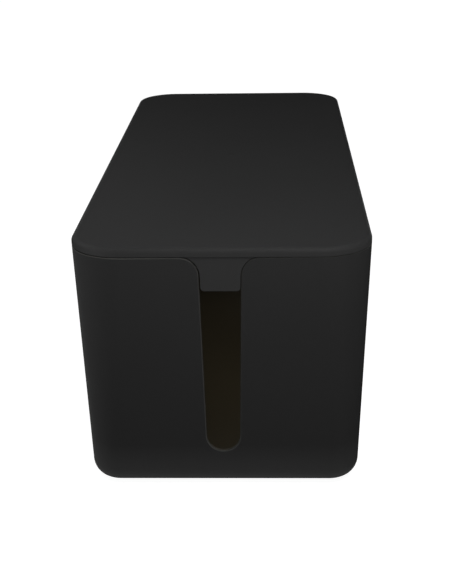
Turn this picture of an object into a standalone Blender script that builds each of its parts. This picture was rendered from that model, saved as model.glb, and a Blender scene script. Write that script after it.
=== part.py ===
"""Lidded cable box: a plastic tub that hides a power strip, with a lift-off lid.

The tub has drafted walls, rounded corners and a tall cable outlet in each end wall. The lid sits
flush on the rim, is located by a skirt inside the walls, and has a tongue at each end that hangs
in the top of the outlet. Four rubber pads sit in shallow recesses in the underside.

Frame: metres, +X width, +Y length, +Z up. The origin is on the surface the box stands on, under
the centre of the box. The front outlet faces -Y.
"""

import math

import bmesh
import bpy

# Overall size
LENGTH = 0.407
WIDTH = 0.157
SHELL_HEIGHT = 0.137  # underside of the tub to the top of the lid
CORNER_RADIUS = 0.028  # plan radius at the lid
CORNER_TAPER = 0.048  # what the tub's plan radius loses for each unit of depth, past the draft
DRAFT = math.radians(2.6)  # the walls lean outwards going up

# Tub
WALL = 0.0025
FLOOR = 0.0025
BOTTOM_FILLET = 0.010
INNER_FILLET = 0.0075

# Lid
LID_BAND = 0.0045  # height of the lid's visible side
LID_PLATE = 0.0025
LID_EDGE_RADIUS = 0.0025
SEAM_GAP = 0.0004
SKIRT_DEPTH = 0.005
SKIRT_THICKNESS = 0.0018
SKIRT_CLEARANCE = 0.0005

# Cable outlet in each end wall
SLOT_HALF_WIDTH = 0.01095  # at the rim, without the rounded mouth
SLOT_TAPER = math.radians(1.17)  # each side leans in going down
SLOT_DEPTH = 0.111  # rim to the lowest point of the round end
MOUTH_RADIUS = 0.010

# Tongue that hangs from the lid into the outlet
TONGUE_DROP = 0.0180  # below the rim
TONGUE_CLEARANCE = 0.0004
TONGUE_FACE_INSET = 0.0006  # leaves a step under the lid's band
TONGUE_BACK_INSET = 0.0035
TONGUE_CORNER_RADIUS = 0.002
TONGUE_ROOT = 0.001  # how far it runs up into the band
FLARE_END = math.radians(80)  # the flare stops just short of the band, with a blunt edge

# Rubber pads
PAD_RADIUS = 0.0065
PAD_CHAMFER = 0.0004
PAD_STANDS_OUT = 0.001
RECESS_RADIUS = 0.0068
RECESS_DEPTH = 0.0008
PAD_GAP = 0.0003
PAD_X = 0.050
PAD_Y = 0.172

# Smoothness
CORNER_STEPS = 10
FILLET_STEPS = 5
SLOT_ARC_STEPS = 10
PAD_STEPS = 32
SHARP_ANGLE = math.radians(30)

CUTTER_MARGIN = 0.01

BODY_HEIGHT = SHELL_HEIGHT - LID_BAND - SEAM_GAP
TAPER_SLOPE = math.tan(SLOT_TAPER)


def clear_scene():
    for obj in list(bpy.data.objects):
        bpy.data.objects.remove(obj, do_unlink=True)


def material(name, colour, roughness):
    made = bpy.data.materials.new(name)
    made.use_nodes = True
    shader = made.node_tree.nodes["Principled BSDF"]
    shader.inputs["Base Color"].default_value = (*colour, 1.0)
    shader.inputs["Roughness"].default_value = roughness
    shader.inputs["Metallic"].default_value = 0.0
    return made


def arc(centre, radius, start, end, steps):
    """Points on an arc, both ends included, with angles in radians."""
    angles = [start + (end - start) * i / steps for i in range(steps + 1)]
    return [
        (centre[0] + radius * math.cos(a), centre[1] + radius * math.sin(a)) for a in angles
    ]


def plan_ring(inset, z, radius):
    """A rounded rectangle at height z, pulled in by inset from the box's widest outline."""
    across = WIDTH / 2 - inset - radius
    along = LENGTH / 2 - inset - radius
    corners = [(across, along), (-across, along), (-across, -along), (across, -along)]
    points = []
    for quarter, corner in enumerate(corners):
        start = quarter * math.pi / 2
        points += arc(corner, radius, start, start + math.pi / 2, CORNER_STEPS)
    return [(x, y, z) for x, y in points]


def round_ring(radius, z):
    points = arc((0.0, 0.0), radius, 0.0, math.tau, PAD_STEPS)[:-1]
    return [(x, y, z) for x, y in points]


def mesh_from(name, build):
    """A new mesh, made by build(bm), with its faces pointing out and its round parts smooth."""
    bm = bmesh.new()
    build(bm)
    bmesh.ops.recalc_face_normals(bm, faces=bm.faces)
    mesh = bpy.data.meshes.new(name)
    bm.to_mesh(mesh)
    bm.free()
    mesh.shade_smooth()
    mesh.set_sharp_from_angle(angle=SHARP_ANGLE)
    return mesh


def lofted(name, rings):
    """A closed skin through the rings, with a flat cap on the first and on the last."""

    def build(bm):
        loops = [[bm.verts.new(point) for point in ring] for ring in rings]
        count = len(loops[0])
        for low, high in zip(loops, loops[1:]):
            for i in range(count):
                j = (i + 1) % count
                bm.faces.new((low[i], low[j], high[j], high[i]))
        bm.faces.new(list(reversed(loops[0])))
        bm.faces.new(loops[-1])

    return mesh_from(name, build)


def extruded_along_y(name, outline, y_start, y_end):
    """A prism whose section is the outline of (x, z) points."""

    def build(bm):
        near = [bm.verts.new((x, y_start, z)) for x, z in outline]
        far = [bm.verts.new((x, y_end, z)) for x, z in outline]
        count = len(outline)
        for i in range(count):
            j = (i + 1) % count
            bm.faces.new((near[i], near[j], far[j], far[i]))
        bm.faces.new(list(reversed(near)))
        bm.faces.new(far)

    return mesh_from(name, build)


def add_object(name, mesh, parent, location, finish=None):
    obj = bpy.data.objects.new(name, mesh)
    bpy.context.collection.objects.link(obj)
    obj.parent = parent
    obj.location = location
    if finish and not mesh.materials:
        mesh.materials.append(finish)
    return obj


def add_tool(name, mesh, parent):
    """A shape that only cuts or joins: it is not a piece of the box."""
    tool = add_object(name, mesh, parent, (0.0, 0.0, 0.0))
    tool.hide_render = True
    tool.display_type = "WIRE"
    return tool


def combine(obj, tool, operation):
    modifier = obj.modifiers.new(tool.name, "BOOLEAN")
    modifier.operation = operation
    modifier.object = tool
    modifier.solver = "EXACT"


def mirrored(right_side):
    """A closed outline from its right half, listed from the bottom to the top."""
    return right_side + [(-x, z) for x, z in reversed(right_side)]


# Tub. Heights are above its underside.


def wall_inset(z):
    return math.tan(DRAFT) * (BODY_HEIGHT - z)


def wall_fillet(radius, flat_z, wall_offset):
    """The (inset, z) arc from a floor at flat_z into a wall that lies wall_offset inside the
    outer face."""
    centre_z = flat_z + radius
    touch_z = centre_z - radius * math.sin(DRAFT)
    centre_inset = wall_inset(touch_z) + wall_offset + radius * math.cos(DRAFT)
    steps = arc((-centre_inset, centre_z), radius, -math.pi / 2, -DRAFT, FILLET_STEPS)
    return [(-outward, z) for outward, z in steps]


def tub_ring(inset, z):
    radius = CORNER_RADIUS - inset - CORNER_TAPER * (BODY_HEIGHT - z)
    return plan_ring(inset, z, radius)


def tub_mesh():
    outside = wall_fillet(BOTTOM_FILLET, 0.0, 0.0) + [(0.0, BODY_HEIGHT)]
    inside = wall_fillet(INNER_FILLET, FLOOR, WALL) + [(WALL, BODY_HEIGHT)]
    profile = outside + list(reversed(inside))
    return lofted("box_body", [tub_ring(inset, z) for inset, z in profile])


def slot_side(depth, clearance=0.0):
    """Half the outlet's width at a depth below the rim, less a clearance along its edge."""
    return SLOT_HALF_WIDTH - TAPER_SLOPE * depth - clearance / math.cos(SLOT_TAPER)


def mouth_centre():
    """Centre (x, depth) of the arc that rounds the wall into the outlet's side."""
    touch_depth = MOUTH_RADIUS * (1 - math.sin(SLOT_TAPER))
    x = slot_side(touch_depth) + MOUTH_RADIUS * math.cos(SLOT_TAPER)
    return x, MOUTH_RADIUS


def slot_outline():
    end_radius = (SLOT_HALF_WIDTH - TAPER_SLOPE * SLOT_DEPTH) / (
        1 / math.cos(SLOT_TAPER) - TAPER_SLOPE
    )
    end_z = BODY_HEIGHT - SLOT_DEPTH + end_radius
    mouth_x, mouth_depth = mouth_centre()
    mouth_z = BODY_HEIGHT - mouth_depth
    end = arc((0.0, end_z), end_radius, -math.pi / 2, -SLOT_TAPER, SLOT_ARC_STEPS)
    mouth = arc(
        (mouth_x, mouth_z), MOUTH_RADIUS, math.pi - SLOT_TAPER, math.pi / 2, SLOT_ARC_STEPS
    )
    above = [(mouth_x, BODY_HEIGHT + CUTTER_MARGIN)]
    outline = mirrored(end + mouth + above)
    return outline[:-1]


def recess_mesh():
    def build(bm):
        for x in (-PAD_X, PAD_X):
            for y in (-PAD_Y, PAD_Y):
                made = bmesh.ops.create_cone(
                    bm,
                    cap_ends=True,
                    segments=PAD_STEPS,
                    radius1=RECESS_RADIUS,
                    radius2=RECESS_RADIUS,
                    depth=2 * RECESS_DEPTH,
                )
                bmesh.ops.translate(bm, verts=made["verts"], vec=(x, y, 0.0))

    return mesh_from("foot_recesses", build)


def make_tub(parent, finish):
    tub = add_object("box_body", tub_mesh(), parent, (0.0, 0.0, PAD_STANDS_OUT), finish)
    reach = LENGTH / 2 + CUTTER_MARGIN
    outlets = extruded_along_y("cable_outlets", slot_outline(), -reach, reach)
    combine(tub, add_tool("cable_outlets", outlets, tub), "DIFFERENCE")
    combine(tub, add_tool("foot_recesses", recess_mesh(), tub), "DIFFERENCE")
    return tub


# Lid. Heights are above the lower edge of its band.


def skirt_outer_inset(z):
    return WALL + SKIRT_CLEARANCE - math.tan(DRAFT) * z


def lid_mesh():
    ceiling = LID_BAND - LID_PLATE
    skirt_inner = skirt_outer_inset(-SKIRT_DEPTH) + SKIRT_THICKNESS
    edge = arc(
        (-LID_EDGE_RADIUS, LID_BAND - LID_EDGE_RADIUS),
        LID_EDGE_RADIUS,
        0.0,
        math.pi / 2,
        FILLET_STEPS,
    )
    profile = [
        (skirt_inner, ceiling),
        (skirt_inner, -SKIRT_DEPTH),
        (skirt_outer_inset(-SKIRT_DEPTH), -SKIRT_DEPTH),
        (skirt_outer_inset(0.0), 0.0),
        (0.0, 0.0),
    ]
    profile += [(-outward, z) for outward, z in edge]
    rings = [plan_ring(inset, z, CORNER_RADIUS - inset) for inset, z in profile]
    return lofted("lid", rings)


def tongue_outline():
    """The tongue keeps an even gap to the outlet's sides and to its rounded mouth."""
    low_z = -SEAM_GAP - TONGUE_DROP
    side_x = slot_side(TONGUE_DROP, TONGUE_CLEARANCE)
    corner = arc(
        (side_x - TONGUE_CORNER_RADIUS, low_z + TONGUE_CORNER_RADIUS),
        TONGUE_CORNER_RADIUS,
        -math.pi / 2,
        0.0,
        FILLET_STEPS,
    )
    mouth_x, mouth_depth = mouth_centre()
    flare = arc(
        (mouth_x, -SEAM_GAP - mouth_depth),
        MOUTH_RADIUS + TONGUE_CLEARANCE,
        math.pi - SLOT_TAPER,
        math.pi - FLARE_END,
        SLOT_ARC_STEPS,
    )
    root = [(flare[-1][0], TONGUE_ROOT)]
    return mirrored(corner + flare + root)


def make_lid(parent, finish):
    seat = PAD_STANDS_OUT + BODY_HEIGHT + SEAM_GAP
    lid = add_object("lid", lid_mesh(), parent, (0.0, 0.0, seat), finish)
    face = LENGTH / 2 - TONGUE_FACE_INSET
    back = LENGTH / 2 - TONGUE_BACK_INSET
    front = extruded_along_y("front_tongue", tongue_outline(), -face, -back)
    rear = extruded_along_y("rear_tongue", tongue_outline(), back, face)
    combine(lid, add_tool("front_tongue", front, lid), "UNION")
    combine(lid, add_tool("rear_tongue", rear, lid), "UNION")
    return lid


# Rubber pads


def pad_mesh():
    top = PAD_STANDS_OUT + RECESS_DEPTH - PAD_GAP
    profile = [
        (PAD_RADIUS - PAD_CHAMFER, 0.0),
        (PAD_RADIUS, PAD_CHAMFER),
        (PAD_RADIUS, top),
    ]
    return lofted("rubber_pad", [round_ring(radius, z) for radius, z in profile])


def make_pads(parent, finish):
    pad = pad_mesh()
    for end, y in (("front", -PAD_Y), ("rear", PAD_Y)):
        for side, x in (("left", -PAD_X), ("right", PAD_X)):
            add_object(f"foot_{end}_{side}", pad, parent, (x, y, 0.0), finish)


def main():
    clear_scene()
    plastic = material("black_plastic", (0.022, 0.022, 0.023), 0.42)
    rubber = material("black_rubber", (0.016, 0.016, 0.016), 0.75)
    whole = add_object("cable_box", None, None, (0.0, 0.0, 0.0))
    make_tub(whole, plastic)
    make_lid(whole, plastic)
    make_pads(whole, rubber)


main()
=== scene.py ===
"""The finished look of the lidded cable box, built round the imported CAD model.

The tub, the lid and the four rubber pads are each rebuilt as a fine mesh with the small edge
radii of a moulding, in the place of their CAD nodes. Metres, +Z up, front outlet facing -Y.
"""

import math

import bmesh
import bpy
from mathutils import Matrix, Vector


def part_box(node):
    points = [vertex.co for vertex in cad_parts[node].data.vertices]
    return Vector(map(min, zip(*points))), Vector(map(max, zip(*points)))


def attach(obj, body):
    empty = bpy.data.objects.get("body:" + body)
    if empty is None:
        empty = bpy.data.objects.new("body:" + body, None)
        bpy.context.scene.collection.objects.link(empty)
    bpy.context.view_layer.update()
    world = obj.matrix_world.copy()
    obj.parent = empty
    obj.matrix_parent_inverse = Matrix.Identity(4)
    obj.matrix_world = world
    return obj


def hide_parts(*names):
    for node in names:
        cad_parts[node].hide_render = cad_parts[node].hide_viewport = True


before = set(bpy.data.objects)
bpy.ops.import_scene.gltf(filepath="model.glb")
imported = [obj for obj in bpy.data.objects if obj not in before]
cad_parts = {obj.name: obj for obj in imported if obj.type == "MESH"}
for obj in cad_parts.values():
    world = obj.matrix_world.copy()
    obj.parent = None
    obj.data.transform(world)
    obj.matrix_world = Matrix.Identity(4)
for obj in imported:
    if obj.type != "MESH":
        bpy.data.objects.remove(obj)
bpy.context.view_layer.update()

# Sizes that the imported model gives
TUB_LOW, TUB_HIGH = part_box("box_body")
LID_LOW, LID_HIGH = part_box("lid")
WIDTH = LID_HIGH.x - LID_LOW.x
LENGTH = LID_HIGH.y - LID_LOW.y
UNDERSIDE_Z = TUB_LOW.z
RIM_Z = TUB_HIGH.z
TOP_Z = LID_HIGH.z

# Sizes of the design that the model's boxes don't give
CORNER_RADIUS = 0.028
CORNER_TAPER = 0.048
DRAFT = math.radians(2.6)
WALL = 0.0025
FLOOR = 0.0025
BOTTOM_FILLET = 0.010
INNER_FILLET = 0.0075
SEAM_GAP = 0.0004
LID_PLATE = 0.0025
LID_EDGE_RADIUS = 0.0025
LID_EDGE_REACH = 0.0035
SKIRT_DEPTH = 0.005
SKIRT_THICKNESS = 0.0018
SKIRT_CLEARANCE = 0.0005
SLOT_HALF_WIDTH = 0.01095
SLOT_TAPER = math.radians(1.17)
SLOT_DEPTH = 0.111
MOUTH_RADIUS = 0.010
TONGUE_DROP = 0.0180
TONGUE_CLEARANCE = 0.0004
TONGUE_FACE_INSET = 0.0006
TONGUE_BACK_INSET = 0.0035
TONGUE_CORNER_RADIUS = 0.002
TONGUE_ROOT = 0.001
FLARE_END = math.radians(80)
RECESS_RADIUS = 0.0068
RECESS_DEPTH = 0.0008
BAND_Z = RIM_Z + SEAM_GAP
TAPER_SLOPE = math.tan(SLOT_TAPER)

# Moulding details
TUB_EDGE_RADIUS = 0.0006
LID_EDGE_BREAK = 0.0003
PAD_EDGE_RADIUS = 0.0005
EDGE_STEPS = 3
EDGE_ANGLE = math.radians(40)
GATE_Y = -0.008
GATE_RADIUS = 0.0035
GATE_DEPTH = 0.0003
PIN_RADIUS = 0.004
PIN_DEPTH = 0.00015
PIN_X = 0.045
PIN_ROWS = (-0.15, -0.05, 0.05, 0.15)
DISH_SLOPE = 0.0006

# The lid as it sits: a hair low on the right, with its tongues nearer the outlets' right side
LID_SETTLE = 0.00038
TONGUE_SHIFT = 0.0002

CORNER_STEPS = 28
FILLET_STEPS = 12
SLOT_ARC_STEPS = 20
ROUND_STEPS = 48
CUTTER_MARGIN = 0.01


# Mesh tools


def arc(centre, radius, start, end, steps):
    """Points on an arc, both ends included, with angles in radians."""
    angles = [start + (end - start) * i / steps for i in range(steps + 1)]
    return [
        (centre[0] + radius * math.cos(a), centre[1] + radius * math.sin(a)) for a in angles
    ]


def plan_ring(inset, z, radius):
    """A rounded rectangle at height z, pulled in by inset from the box's widest outline."""
    across = WIDTH / 2 - inset - radius
    along = LENGTH / 2 - inset - radius
    corners = [(across, along), (-across, along), (-across, -along), (across, -along)]
    points = []
    for quarter, corner in enumerate(corners):
        start = quarter * math.pi / 2
        points += arc(corner, radius, start, start + math.pi / 2, CORNER_STEPS)
    return [(x, y, z) for x, y in points]


def round_ring(centre, radius, z):
    points = arc(centre, radius, 0.0, math.tau, ROUND_STEPS)[:-1]
    return [(x, y, z) for x, y in points]


def add_object(name, bm):
    bmesh.ops.recalc_face_normals(bm, faces=bm.faces)
    mesh = bpy.data.meshes.new(name)
    bm.to_mesh(mesh)
    bm.free()
    mesh.shade_smooth()
    obj = bpy.data.objects.new(name, mesh)
    bpy.context.collection.objects.link(obj)
    return obj


def skin(bm, rings):
    """A closed skin through the rings, with a flat cap on the first and on the last."""
    loops = [[bm.verts.new(point) for point in ring] for ring in rings]
    count = len(loops[0])
    for low, high in zip(loops, loops[1:]):
        for i in range(count):
            j = (i + 1) % count
            bm.faces.new((low[i], low[j], high[j], high[i]))
    bm.faces.new(list(reversed(loops[0])))
    bm.faces.new(loops[-1])


def lofted(name, *ring_sets):
    bm = bmesh.new()
    for rings in ring_sets:
        skin(bm, rings)
    return add_object(name, bm)


def extruded_along_y(name, outline, y_start, y_end):
    """A prism whose section is the outline of (x, z) points."""
    near = [(x, y_start, z) for x, z in outline]
    far = [(x, y_end, z) for x, z in outline]
    return lofted(name, [near, far])


def combine(obj, tool, operation):
    """Joins or cuts with the tool, which is then deleted."""
    modifier = obj.modifiers.new(operation.lower(), "BOOLEAN")
    modifier.operation = operation
    modifier.object = tool
    modifier.solver = "EXACT"
    bake_modifiers(obj)
    bpy.data.objects.remove(tool, do_unlink=True)


def bake_modifiers(obj):
    evaluated = obj.evaluated_get(bpy.context.evaluated_depsgraph_get())
    mesh = bpy.data.meshes.new_from_object(evaluated)
    obj.modifiers.clear()
    old = obj.data
    obj.data = mesh
    bpy.data.meshes.remove(old)


def soften_edges(obj, radius):
    """Rounds every sharp edge."""
    bevel = obj.modifiers.new("edges", "BEVEL")
    bevel.width = radius
    bevel.segments = EDGE_STEPS
    bevel.limit_method = "ANGLE"
    bevel.angle_limit = EDGE_ANGLE
    bevel.miter_outer = "MITER_ARC"
    bake_modifiers(obj)


def even_shading(obj):
    """Keeps the flat faces flat in the shading, beside the rounded edges."""
    obj.data.shade_smooth()
    normals = obj.modifiers.new("normals", "WEIGHTED_NORMAL")
    normals.weight = 100
    bake_modifiers(obj)


def mirrored(right_side):
    """A closed outline from its right half, listed from the bottom to the top."""
    return right_side + [(-x, z) for x, z in reversed(right_side)]


# Tub


def wall_inset(z):
    return math.tan(DRAFT) * (RIM_Z - z)


def wall_fillet(radius, flat_z, wall_offset):
    """The (inset, z) arc from a floor at flat_z into a wall that lies wall_offset inside the
    outer face."""
    centre_z = flat_z + radius
    touch_z = centre_z - radius * math.sin(DRAFT)
    centre_inset = wall_inset(touch_z) + wall_offset + radius * math.cos(DRAFT)
    steps = arc((-centre_inset, centre_z), radius, -math.pi / 2, -DRAFT, FILLET_STEPS)
    return [(-outward, z) for outward, z in steps]


def tub_ring(inset, z):
    radius = CORNER_RADIUS - inset - CORNER_TAPER * (RIM_Z - z)
    return plan_ring(inset, z, radius)


def slot_side(depth, clearance=0.0):
    """Half the outlet's width at a depth below the rim, less a clearance along its edge."""
    return SLOT_HALF_WIDTH - TAPER_SLOPE * depth - clearance / math.cos(SLOT_TAPER)


def mouth_centre_x():
    touch_depth = MOUTH_RADIUS * (1 - math.sin(SLOT_TAPER))
    return slot_side(touch_depth) + MOUTH_RADIUS * math.cos(SLOT_TAPER)


def slot_end_radius():
    return (SLOT_HALF_WIDTH - TAPER_SLOPE * SLOT_DEPTH) / (1 / math.cos(SLOT_TAPER) - TAPER_SLOPE)


def slot_outline():
    end_radius = slot_end_radius()
    end_z = RIM_Z - SLOT_DEPTH + end_radius
    mouth = (mouth_centre_x(), RIM_Z - MOUTH_RADIUS)
    end_arc = arc((0.0, end_z), end_radius, -math.pi / 2, -SLOT_TAPER, SLOT_ARC_STEPS)
    mouth_arc = arc(mouth, MOUTH_RADIUS, math.pi - SLOT_TAPER, math.pi / 2, SLOT_ARC_STEPS)
    above = [(mouth[0], RIM_Z + CUTTER_MARGIN)]
    return mirrored(end_arc + mouth_arc + above)[:-1]


def discs(name, centres, radius, low, high):
    return lofted(
        name, *[[round_ring(c, radius, low), round_ring(c, radius, high)] for c in centres]
    )


def dishes(name, centres, radius, surface_z, depth):
    """Tools for shallow round marks with sloping sides: a positive depth sinks a mark into a
    surface that faces up, a negative one into a surface that faces down."""
    rings = (
        (radius - DISH_SLOPE, surface_z - depth),
        (radius, surface_z),
        (radius + DISH_SLOPE, surface_z + depth),
    )
    return lofted(name, *[[round_ring(c, r, z) for r, z in rings] for c in centres])


def pad_centres():
    pads = [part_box(f"foot_{end}_{side}") for end in ("front", "rear") for side in ("left", "right")]
    return [((low.x + high.x) / 2, (low.y + high.y) / 2) for low, high in pads]


def pin_places():
    return [(x, y) for x in (-PIN_X, PIN_X) for y in PIN_ROWS]


def make_tub():
    outside = wall_fillet(BOTTOM_FILLET, UNDERSIDE_Z, 0.0) + [(0.0, RIM_Z)]
    inside = wall_fillet(INNER_FILLET, UNDERSIDE_Z + FLOOR, WALL) + [(WALL, RIM_Z)]
    profile = outside + list(reversed(inside))
    tub = lofted("tub_shell", [tub_ring(inset, z) for inset, z in profile])
    reach = LENGTH / 2 + CUTTER_MARGIN
    combine(tub, extruded_along_y("outlets", slot_outline(), -reach, reach), "DIFFERENCE")
    soften_edges(tub, TUB_EDGE_RADIUS)
    recess_top = UNDERSIDE_Z + RECESS_DEPTH
    recesses = discs("recesses", pad_centres(), RECESS_RADIUS, -RECESS_DEPTH, recess_top)
    combine(tub, recesses, "DIFFERENCE")
    pins = dishes("pins", pin_places(), PIN_RADIUS, UNDERSIDE_Z + FLOOR, PIN_DEPTH)
    combine(tub, pins, "DIFFERENCE")
    even_shading(tub)
    return tub


def depth_behind_face(x, y, z):
    """How far inside the tub's outer face a point lies, at its own height."""
    inset = wall_inset(z)
    radius = CORNER_RADIUS - inset - CORNER_TAPER * (RIM_Z - z)
    over_x = abs(x) - (WIDTH / 2 - inset - radius)
    over_y = abs(y) - (LENGTH / 2 - inset - radius)
    outside = math.hypot(max(over_x, 0.0), max(over_y, 0.0))
    return radius - outside - min(max(over_x, over_y), 0.0)


def is_inside(face):
    """True for a face of the tub's hollow, which faces the middle line and lies behind a wall."""
    x, y, z = face.center
    middle_y = max(-LENGTH / 4, min(LENGTH / 4, y))
    inward = Vector((-x, middle_y - y, RIM_Z - z))
    behind = depth_behind_face(x, y, z) > 0.8 * WALL and z < RIM_Z - 0.2 * WALL
    return behind and z > UNDERSIDE_Z + 0.8 * FLOOR and face.normal.dot(inward) > 0.0


def is_edge(face):
    """True for a face of the rim or of an outlet's cut edge, with their rounded corners."""
    x, y, z = face.center
    if z > RIM_Z - TUB_EDGE_RADIUS:
        return True
    depth = RIM_Z - z
    end_z = RIM_Z - SLOT_DEPTH + slot_end_radius()
    beside = abs(x) - slot_side(depth)
    if z < end_z:
        beside = math.hypot(x, z - end_z) - slot_end_radius()
    elif depth < MOUTH_RADIUS:
        beside = MOUTH_RADIUS - math.hypot(abs(x) - mouth_centre_x(), MOUTH_RADIUS - depth)
    return abs(y) > LENGTH / 4 and abs(beside) < TUB_EDGE_RADIUS


def finish_number(face):
    """The outer finish is 0, the inside's is 1 and the cut edges' is 2; 1 and 2 carry painted light."""
    if is_edge(face):
        return 2
    return int(is_inside(face))


# Lid


def skirt_outer_inset(drop):
    return WALL + SKIRT_CLEARANCE + math.tan(DRAFT) * drop


def tongue_outline():
    """The tongue keeps an even gap to the outlet's sides and to its rounded mouth."""
    low_z = RIM_Z - TONGUE_DROP
    side_x = slot_side(TONGUE_DROP, TONGUE_CLEARANCE)
    corner = arc(
        (side_x - TONGUE_CORNER_RADIUS, low_z + TONGUE_CORNER_RADIUS),
        TONGUE_CORNER_RADIUS,
        -math.pi / 2,
        0.0,
        FILLET_STEPS,
    )
    flare = arc(
        (mouth_centre_x(), RIM_Z - MOUTH_RADIUS),
        MOUTH_RADIUS + TONGUE_CLEARANCE,
        math.pi - SLOT_TAPER,
        math.pi - FLARE_END,
        SLOT_ARC_STEPS,
    )
    root = [(flare[-1][0], BAND_Z + TONGUE_ROOT)]
    return [(x + TONGUE_SHIFT, z) for x, z in mirrored(corner + flare + root)]


def make_lid():
    ceiling = TOP_Z - LID_PLATE
    skirt_low = BAND_Z - SKIRT_DEPTH
    skirt_inner = skirt_outer_inset(SKIRT_DEPTH) + SKIRT_THICKNESS
    edge = arc((-1.0, -1.0), 1.0, 0.0, math.pi / 2, FILLET_STEPS)
    profile = [
        (skirt_inner, ceiling),
        (skirt_inner, skirt_low),
        (skirt_outer_inset(SKIRT_DEPTH), skirt_low),
        (skirt_outer_inset(0.0), BAND_Z),
        (0.0, BAND_Z),
    ]
    profile += [(-x * LID_EDGE_REACH, TOP_Z + z * LID_EDGE_RADIUS) for x, z in edge]
    lid = lofted("lid_shell", [plan_ring(i, z, CORNER_RADIUS - i) for i, z in profile])
    face = LENGTH / 2 - TONGUE_FACE_INSET
    back = LENGTH / 2 - TONGUE_BACK_INSET
    for name, start, end in (("front", -face, -back), ("rear", back, face)):
        combine(lid, extruded_along_y(name, tongue_outline(), start, end), "UNION")
    soften_edges(lid, LID_EDGE_BREAK)
    pins = dishes("pins", pin_places(), PIN_RADIUS, ceiling, -PIN_DEPTH)
    combine(lid, pins, "DIFFERENCE")
    gate = dishes("gate", [(0.0, GATE_Y)], GATE_RADIUS, TOP_Z, GATE_DEPTH)
    combine(lid, gate, "DIFFERENCE")
    even_shading(lid)
    settle(lid)
    return lid


def settle(lid):
    """Lowers the lid evenly from its left side, which stays in place, to its right side."""
    for vertex in lid.data.vertices:
        vertex.co.z -= LID_SETTLE * (0.5 + vertex.co.x / WIDTH)


# Rubber pads


def make_pad(node):
    low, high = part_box(node)
    centre = ((low.x + high.x) / 2, (low.y + high.y) / 2)
    radius = (high.x - low.x) / 2
    pad = lofted(
        node + "_pad", [round_ring(centre, radius, low.z), round_ring(centre, radius, high.z)]
    )
    soften_edges(pad, PAD_EDGE_RADIUS)
    even_shading(pad)
    return pad


# Materials. The lighter and darker areas are painted light and shade, set together with the lights
# to give the right tones from the front. They stand for light on the box, not for its surface.

CLOUD_SCALE = 18.0
GRAIN_SCALE = 1800.0
GRAIN_HEIGHT = 0.00008
GRAIN_STRENGTH = 0.35
ROUGHNESS_SPREAD = 0.01


def new_material(name):
    made = bpy.data.materials.new(name)
    made.use_nodes = True
    tree = made.node_tree
    return made, tree, tree.nodes["Principled BSDF"]


def noise(tree, scale, detail=3.0, roughness=0.55):
    node = tree.nodes.new("ShaderNodeTexNoise")
    node.inputs["Scale"].default_value = scale
    node.inputs["Detail"].default_value = detail
    node.inputs["Roughness"].default_value = roughness
    place = tree.nodes.get("Texture Coordinate") or tree.nodes.new("ShaderNodeTexCoord")
    tree.links.new(place.outputs["Object"], node.inputs["Vector"])
    return node.outputs["Fac"]


def remap(tree, value, low, high, new_low, new_high):
    node = tree.nodes.new("ShaderNodeMapRange")
    for socket, number in zip(
        ("From Min", "From Max", "To Min", "To Max"), (low, high, new_low, new_high)
    ):
        node.inputs[socket].default_value = number
    tree.links.new(value, node.inputs["Value"])
    return node.outputs["Result"]


def blend_colour(tree, value, dark, light):
    node = tree.nodes.new("ShaderNodeMix")
    node.data_type = "RGBA"
    node.inputs["A"].default_value = (*dark, 1.0)
    node.inputs["B"].default_value = (*light, 1.0)
    tree.links.new(value, node.inputs["Factor"])
    return node.outputs["Result"]


def bump(tree, height, distance, strength):
    node = tree.nodes.new("ShaderNodeBump")
    node.inputs["Distance"].default_value = distance
    node.inputs["Strength"].default_value = strength
    tree.links.new(height, node.inputs["Height"])
    return node.outputs["Normal"]


def calculate(tree, operation, first, second):
    """A math node's result; each input is another node's output or a number."""
    node = tree.nodes.new("ShaderNodeMath")
    node.operation = operation
    for socket, value in zip(node.inputs, (first, second)):
        if isinstance(value, float):
            socket.default_value = value
        else:
            tree.links.new(value, socket)
    return node.outputs["Value"]


def axes(tree, output):
    """The x, y and z of the object's own coordinates or of its surface's direction."""
    place = tree.nodes.get("Texture Coordinate") or tree.nodes.new("ShaderNodeTexCoord")
    split = tree.nodes.new("ShaderNodeSeparateXYZ")
    tree.links.new(place.outputs[output], split.inputs["Vector"])
    return split.outputs


def clouds(tree):
    """Broad soft patches, from 0 to 1."""
    return remap(tree, noise(tree, CLOUD_SCALE), 0.3, 0.7, 0.0, 1.0)


def tub_painted_light_and_tone(tree):
    """Painted light on the tub: lighter near its lowest edge, fading again right at its foot, and
    lighter towards its rim and at its front left and rear right corners, with soft patches of tone."""
    height = axes(tree, "Object")["Z"]
    # Painted light: the low band, the rise towards the rim and the two lighter corners.
    low = remap(tree, height, 0.0255, 0.0090, 0.0, 0.66)
    low = calculate(tree, "MINIMUM", low, remap(tree, height, 0.0010, 0.0065, -0.35, 0.64))
    high = remap(tree, height, 0.030, 0.125, 0.0, 0.32)
    facing = axes(tree, "Normal")
    corner = calculate(tree, "MULTIPLY", facing["X"], facing["Y"])
    corner = calculate(tree, "MAXIMUM", corner, 0.0)
    corner = calculate(tree, "MULTIPLY", corner, calculate(tree, "ABSOLUTE", facing["X"], 0.0))
    painted_light = calculate(tree, "ADD", low, high)
    painted_light = calculate(tree, "ADD", painted_light, calculate(tree, "MULTIPLY", corner, 1.3))
    return calculate(tree, "ADD", painted_light, calculate(tree, "MULTIPLY", clouds(tree), 0.06))


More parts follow.
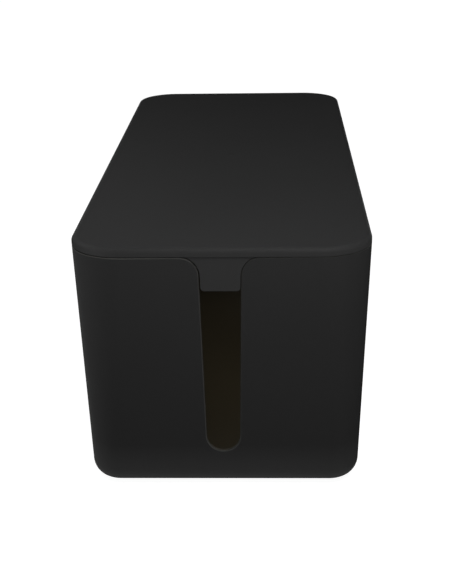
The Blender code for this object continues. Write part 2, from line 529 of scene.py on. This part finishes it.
def edge_painted_highlights(tree):
    """Painted highlights on the cut edges: at the outlets' low ends, on the front outlet's left side
    and the rear one's right side, and on the rim towards its front left and rear right corners."""
    place = axes(tree, "Object")
    # Painted highlights: the outlets' low ends, the rim's corners and one side of each outlet.
    low = remap(tree, place["Z"], 0.034, 0.022, 0.0, 0.6)
    side = calculate(tree, "MULTIPLY", place["X"], place["Y"])
    rim = remap(tree, place["Z"], 0.1300, 0.1312, 0.0, 1.0)
    rim = calculate(tree, "MULTIPLY", rim, remap(tree, side, 0.0, 0.016, 0.05, 1.05))
    painted_light = calculate(tree, "ADD", low, rim)
    return calculate(tree, "ADD", painted_light, remap(tree, side, -0.0005, 0.0015, 0.0, 0.25))


def inner_painted_light_and_tone(tree):
    """Painted light in the hollow: lighter along its middle, away from its two ends, with soft patches of
    tone.
    """
    along = calculate(tree, "ABSOLUTE", axes(tree, "Object")["Y"], 0.0)
    # Painted light: the hollow is lighter along its middle.
    middle = remap(tree, along, 0.13, 0.07, 0.0, 0.9)
    return calculate(tree, "ADD", middle, calculate(tree, "MULTIPLY", clouds(tree), 0.1))


def cover_painted_light_and_tone(tree):
    """Painted light on the lid: lighter on its rounded edge and sides, most of all on the left."""
    facing = axes(tree, "Normal")
    # Painted light on the lid's edge and sides, more on the left.
    side = remap(tree, facing["Z"], 0.97, 0.45, 0.0, 0.46)
    left = remap(tree, facing["X"], -0.05, -0.50, 0.0, 0.55)
    painted_light = calculate(tree, "ADD", side, left)
    return calculate(tree, "ADD", painted_light, calculate(tree, "MULTIPLY", clouds(tree), 0.05))


def wall_shine(tree):
    """How glossy the tub is: least on its right side."""
    return remap(tree, axes(tree, "Normal")["X"], 0.42, 0.94, 0.05, 0.0)


def cover_shine(tree):
    """How glossy the lid is: satin on top and dull on its sides."""
    return remap(tree, axes(tree, "Normal")["Z"], 0.50, 0.85, 0.0, 0.10)


def plastic(name, pattern, dark, light, roughness, shine):
    """Satin moulded plastic, whose colour runs from dark to light with the pattern. The shine is
    a number, or a function that links a pattern of its own. A glTF export drops such a link."""
    made, tree, shader = new_material(name)
    grain = noise(tree, GRAIN_SCALE, detail=2.0)
    if callable(shine):
        tree.links.new(shine(tree), shader.inputs["Specular IOR Level"])
    else:
        shader.inputs["Specular IOR Level"].default_value = shine
    tree.links.new(blend_colour(tree, pattern(tree), dark, light), shader.inputs["Base Color"])
    tree.links.new(
        remap(
            tree, clouds(tree), 0.0, 1.0, roughness - ROUGHNESS_SPREAD, roughness + ROUGHNESS_SPREAD
        ),
        shader.inputs["Roughness"],
    )
    tree.links.new(bump(tree, grain, GRAIN_HEIGHT, GRAIN_STRENGTH), shader.inputs["Normal"])
    return made


def rubber():
    made, tree, shader = new_material("pad_rubber")
    grain = noise(tree, 1200.0)
    tree.links.new(
        blend_colour(tree, grain, (0.010, 0.010, 0.010), (0.022, 0.022, 0.021)),
        shader.inputs["Base Color"],
    )
    shader.inputs["Roughness"].default_value = 0.8
    tree.links.new(bump(tree, grain, 0.0001, 0.5), shader.inputs["Normal"])
    return made


def dress(piece, finishes, body, slot, *nodes):
    piece.data.materials.clear()
    for finish in finishes:
        piece.data.materials.append(finish)
    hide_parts(*nodes)
    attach(piece, body)


# tub_plastic carries the tub's painted light along its lowest edge, towards its rim and at two corners.
body_finish = plastic("tub_plastic", tub_painted_light_and_tone, (0.0135,) * 3, (0.0270,) * 3, 0.80, wall_shine)
# tub_edges is a lighter copy of the tub's plastic, carrying painted highlights on the cut edges.
edge_highlight_finish = plastic("tub_edges", edge_painted_highlights, (0.015, 0.015, 0.014), (0.046, 0.046, 0.043), 0.60, 0.10)
# tub_inside is a lighter copy of the tub's plastic, carrying painted light in the hollow.
inside_painted_light_finish = plastic("tub_inside", inner_painted_light_and_tone, (0.0225,) * 3, (0.0330,) * 3, 0.40, 0.05)
# cover_plastic carries the lid's painted light on its edge and sides.
lid_finish = plastic("cover_plastic", cover_painted_light_and_tone, (0.0155,) * 3, (0.0360,) * 3, 0.50, cover_shine)
pad_finish = rubber()

tub = make_tub()
dress(tub, (body_finish, inside_painted_light_finish, edge_highlight_finish), "box", "body_plastic", "box_body")
for face in tub.data.polygons:
    face.material_index = finish_number(face)
dress(make_lid(), (lid_finish,), "lid", "lid_plastic", "lid")
for end in ("front", "rear"):
    for side in ("left", "right"):
        foot = f"foot_{end}_{side}"
        dress(make_pad(foot), (pad_finish,), "box", "foot_rubber", foot)


# Stage, light and camera

FLOOR_GLOW = 0.96

# Name, azimuth and elevation in degrees, distance and size in metres, power in watts
SOFTBOXES = (
    ("front_key", 4.0, 35.0, 0.4, 0.2, 0.56),
    ("front_right_fill", 30.0, 35.0, 0.4, 0.2, 0.37),
    ("high_front_left", -50.0, 55.0, 0.55, 0.3, 0.45),
    ("high_front_right", 50.0, 55.0, 0.55, 0.3, 0.30),
    ("rear_left_rim", -150.0, 35.0, 0.55, 0.3, 0.105),
    ("rear_rim", 180.0, 35.0, 0.55, 0.3, 0.035),
)

# Name, azimuth and elevation in degrees, strength in watts per square metre
SUNS = (
    ("left", -90.0, 28.0, 0.23),
    ("left_rear", -130.0, 46.0, 0.25),
    ("right_rear", 145.0, 46.0, 0.13),
    ("rear", 180.0, 46.0, 0.08),
    ("high_rear", 180.0, 64.0, 0.15),
)
SUN_SOFTNESS = math.radians(36.0)

LENS = 74.80
CAMERA_PLACE = (0.02719, -0.77980, 0.32718)
CAMERA_YAW = math.radians(-2.40)
CAMERA_PITCH = math.radians(20.22)
CAMERA_ROLL = math.radians(1.13)


def make_floor():
    bm = bmesh.new()
    bmesh.ops.create_circle(bm, cap_ends=True, segments=96, radius=20.0)
    floor = add_object("studio_floor", bm)
    made, tree, shader = new_material("floor_paint")
    shader.inputs["Base Color"].default_value = (0.4, 0.4, 0.4, 1.0)
    shader.inputs["Roughness"].default_value = 0.9
    shader.inputs["Specular IOR Level"].default_value = 0.0
    shader.inputs["Emission Color"].default_value = (1.0, 1.0, 1.0, 1.0)
    shader.inputs["Emission Strength"].default_value = FLOOR_GLOW
    floor.data.materials.append(made)


def make_backdrop():
    """A white world behind everything, which adds no light of its own."""
    world = bpy.data.worlds.new("studio")
    bpy.context.scene.world = world
    world.use_nodes = True
    background = world.node_tree.nodes["Background"]
    background.inputs["Color"].default_value = (1.0, 1.0, 1.0, 1.0)
    background.inputs["Strength"].default_value = 1.0
    world.cycles_visibility.diffuse = False
    world.cycles_visibility.glossy = False


def add_sun(name, azimuth, elevation, strength):
    """A light from a compass direction: azimuth 0 is from -Y, 90 from +X."""
    data = bpy.data.lights.new(name, "SUN")
    data.energy = strength
    data.angle = SUN_SOFTNESS
    lamp = bpy.data.objects.new(name, data)
    turn = Matrix.Rotation(math.radians(azimuth), 4, "Z")
    tilt = Matrix.Rotation(math.radians(90.0 - elevation), 4, "X")
    lamp.matrix_world = turn @ tilt
    bpy.context.collection.objects.link(lamp)


def add_inner_glow():
    """The faint warm light that reaches the hollow, as a panel under the lid."""
    data = bpy.data.lights.new("inner_glow", "AREA")
    data.shape = "RECTANGLE"
    data.size = 0.08
    data.size_y = 0.3
    data.energy = 0.072
    data.color = (1.0, 0.82, 0.50)
    lamp = bpy.data.objects.new("inner_glow", data)
    lamp.location = (0.0, 0.0, RIM_Z - SKIRT_DEPTH)
    lamp.visible_camera = False
    bpy.context.collection.objects.link(lamp)


def add_softbox(name, azimuth, elevation, distance, size, power):
    """A square soft light that faces the box from a direction, as add_sun gives it."""
    data = bpy.data.lights.new(name, "AREA")
    data.shape = "SQUARE"
    data.size = size
    data.energy = power
    lamp = bpy.data.objects.new(name, data)
    turn = Matrix.Rotation(math.radians(azimuth), 4, "Z")
    tilt = Matrix.Rotation(math.radians(90.0 - elevation), 4, "X")
    away = Matrix.Translation((0.0, 0.0, distance))
    lamp.matrix_world = Matrix.Translation((0.0, 0.0, TOP_Z)) @ turn @ tilt @ away
    lamp.visible_camera = False
    bpy.context.collection.objects.link(lamp)


def make_camera():
    data = bpy.data.cameras.new("camera")
    data.lens = LENS
    data.sensor_width = 36.0
    data.clip_start = 0.01
    data.clip_end = 100.0
    camera = bpy.data.objects.new("camera", data)
    turn = Matrix.Rotation(-CAMERA_YAW, 4, "Z")
    tilt = Matrix.Rotation(math.pi / 2 - CAMERA_PITCH, 4, "X")
    roll = Matrix.Rotation(-CAMERA_ROLL, 4, "Z")
    camera.matrix_world = Matrix.Translation(CAMERA_PLACE) @ turn @ tilt @ roll
    bpy.context.collection.objects.link(camera)
    bpy.context.scene.camera = camera


make_floor()
make_backdrop()
for softbox in SOFTBOXES:
    add_softbox(*softbox)
for sun in SUNS:
    add_sun(*sun)
add_inner_glow()
make_camera()
bpy.context.scene.view_settings.view_transform = "Standard"
